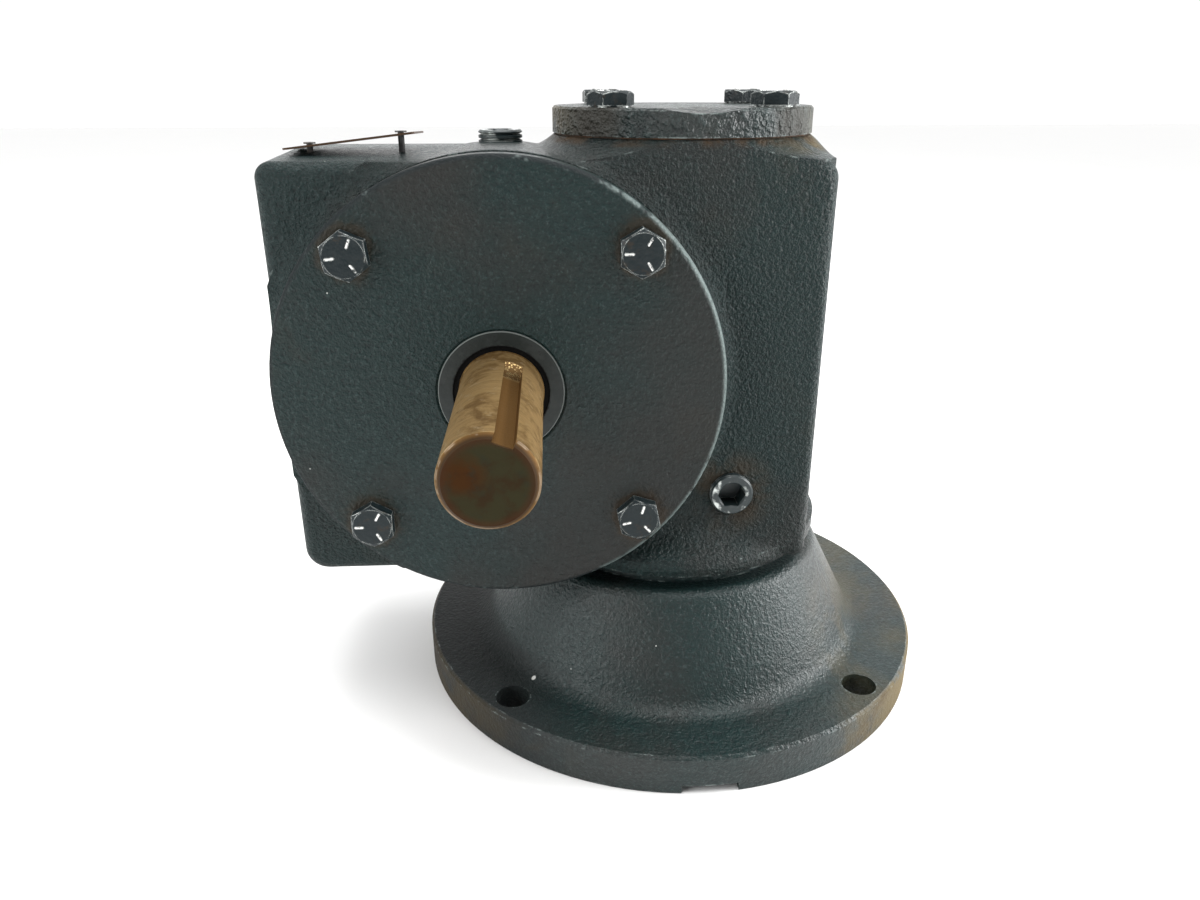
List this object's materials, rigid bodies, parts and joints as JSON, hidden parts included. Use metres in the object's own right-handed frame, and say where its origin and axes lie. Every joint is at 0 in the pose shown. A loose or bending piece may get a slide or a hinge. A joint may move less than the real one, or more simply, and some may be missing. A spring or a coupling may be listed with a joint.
{
  "type": "worm gearbox",
  "caption": "Right-angle worm gearbox: bell flange for a face-mounted motor below, keyed solid output shaft in a round bolted cover on the front, cast housing with top cover and plugs",
  "frame": {"origin": "centre of the motor flange's mounting face, on the worm axis", "axes": "+Z along the worm axis from the motor flange up into the gearbox; -Y along the output shaft, out of the front; +X from the output shaft's side to the worm's side"},
  "size_m": [0.1969, 0.1891, 0.1809],
  "materials": {
    "housing": "dark blue-grey paint on rough casting",
    "output_cover": "dark blue-grey paint on rough casting",
    "top_cover": "dark blue-grey paint on rough casting, rusty at the rim",
    "motor_flange": "dark blue-grey paint, rusty at the rim",
    "gasket": "brown joint paper",
    "painted_bolt": "painted zinc, edges worn bright",
    "flange_bolts": "black oxide",
    "pipe_plug": "painted, ring worn bright",
    "nameplate": "thin plate with browned edges",
    "nameplate_pins": "bright",
    "bearing_ring": "ground",
    "bearing_cage": "pressed steel",
    "bearing_ball": "polished",
    "retaining_ring": "black spring steel",
    "seal_lip": "black nitrile",
    "seal_case": "painted over steel",
    "rear_bore_cap": "painted pressed steel",
    "output_shaft": "ground steel with a tan rust film",
    "worm_wheel_rim": "gear bronze",
    "worm_wheel_hub": "machined iron",
    "wheel_key": "ground",
    "output_spacer": "turned",
    "worm_shaft": "ground"
  },
  "bodies": {
    "case": {"housing": "housing", "output_cover": "output_cover", "top_cover": "top_cover", "output_cover_gasket": "gasket", "top_cover_gasket": "gasket", "flange_gasket": "gasket", "motor_flange": "motor_flange", "output_cover_bolts": "painted_bolt", "top_cover_bolts": "painted_bolt", "flange_bolts": "flange_bolts", "fill_plug": "pipe_plug", "drain_plug": "pipe_plug", "nameplate": "nameplate", "nameplate_pins": "nameplate_pins", "front_bearing_outer_ring": "bearing_ring", "rear_bearing_outer_ring": "bearing_ring", "lower_worm_bearing_outer_ring": "bearing_ring", "upper_worm_bearing_outer_ring": "bearing_ring", "rear_bearing_ring": "retaining_ring", "output_seal_case": "seal_case", "output_seal_lip": "seal_lip", "input_seal_case": "seal_case", "input_seal_lip": "seal_lip", "rear_bore_cap": "rear_bore_cap"},
    "output": {"output_shaft": "output_shaft", "worm_wheel_rim": "worm_wheel_rim", "worm_wheel_hub": "worm_wheel_hub", "wheel_key": "wheel_key", "output_spacer": "output_spacer", "output_shaft_ring": "retaining_ring", "front_bearing_inner_ring": "bearing_ring", "rear_bearing_inner_ring": "bearing_ring"},
    "worm": {"worm_shaft": "worm_shaft", "worm_shaft_ring": "retaining_ring", "lower_worm_bearing_inner_ring": "bearing_ring", "upper_worm_bearing_inner_ring": "bearing_ring"},
    "front_bearing_cage_set": {"front_bearing_cage": "bearing_cage", "front_bearing_balls": "bearing_ball"},
    "rear_bearing_cage_set": {"rear_bearing_cage": "bearing_cage", "rear_bearing_balls": "bearing_ball"},
    "lower_worm_bearing_cage_set": {"lower_worm_bearing_cage": "bearing_cage", "lower_worm_bearing_balls": "bearing_ball"},
    "upper_worm_bearing_cage_set": {"upper_worm_bearing_cage": "bearing_cage", "upper_worm_bearing_balls": "bearing_ball"}
  },
  "joints": [
    {"name": "output_spin", "type": "hinge", "parent": "case", "child": "output", "pos_m": [-0.0524, 0, 0.1063], "axis": [0, -1, 0], "continuous": true},
    {"name": "worm_spin", "type": "hinge", "parent": "case", "child": "worm", "pos_m": [0, 0, 0.1063], "axis": [0, 0, 1], "continuous": true},
    {"name": "front_bearing_cage_spin", "type": "hinge", "parent": "case", "child": "front_bearing_cage_set", "pos_m": [-0.0524, -0.027, 0.1063], "axis": [0, -1, 0], "continuous": true},
    {"name": "rear_bearing_cage_spin", "type": "hinge", "parent": "case", "child": "rear_bearing_cage_set", "pos_m": [-0.0524, 0.027, 0.1063], "axis": [0, -1, 0], "continuous": true},
    {"name": "lower_worm_bearing_cage_spin", "type": "hinge", "parent": "case", "child": "lower_worm_bearing_cage_set", "pos_m": [0, 0, 0.0567], "axis": [0, 0, 1], "continuous": true},
    {"name": "upper_worm_bearing_cage_spin", "type": "hinge", "parent": "case", "child": "upper_worm_bearing_cage_set", "pos_m": [0, 0, 0.1562], "axis": [0, 0, 1], "continuous": true}
  ],
  "couplings": [
    {"joint": "worm_spin", "follows": "output_spin", "ratio": -30},
    {"joint": "front_bearing_cage_spin", "follows": "output_spin", "ratio": 0.3969},
    {"joint": "rear_bearing_cage_spin", "follows": "output_spin", "ratio": 0.3969},
    {"joint": "lower_worm_bearing_cage_spin", "follows": "output_spin", "ratio": -11.906},
    {"joint": "upper_worm_bearing_cage_spin", "follows": "output_spin", "ratio": -11.445}
  ]
}
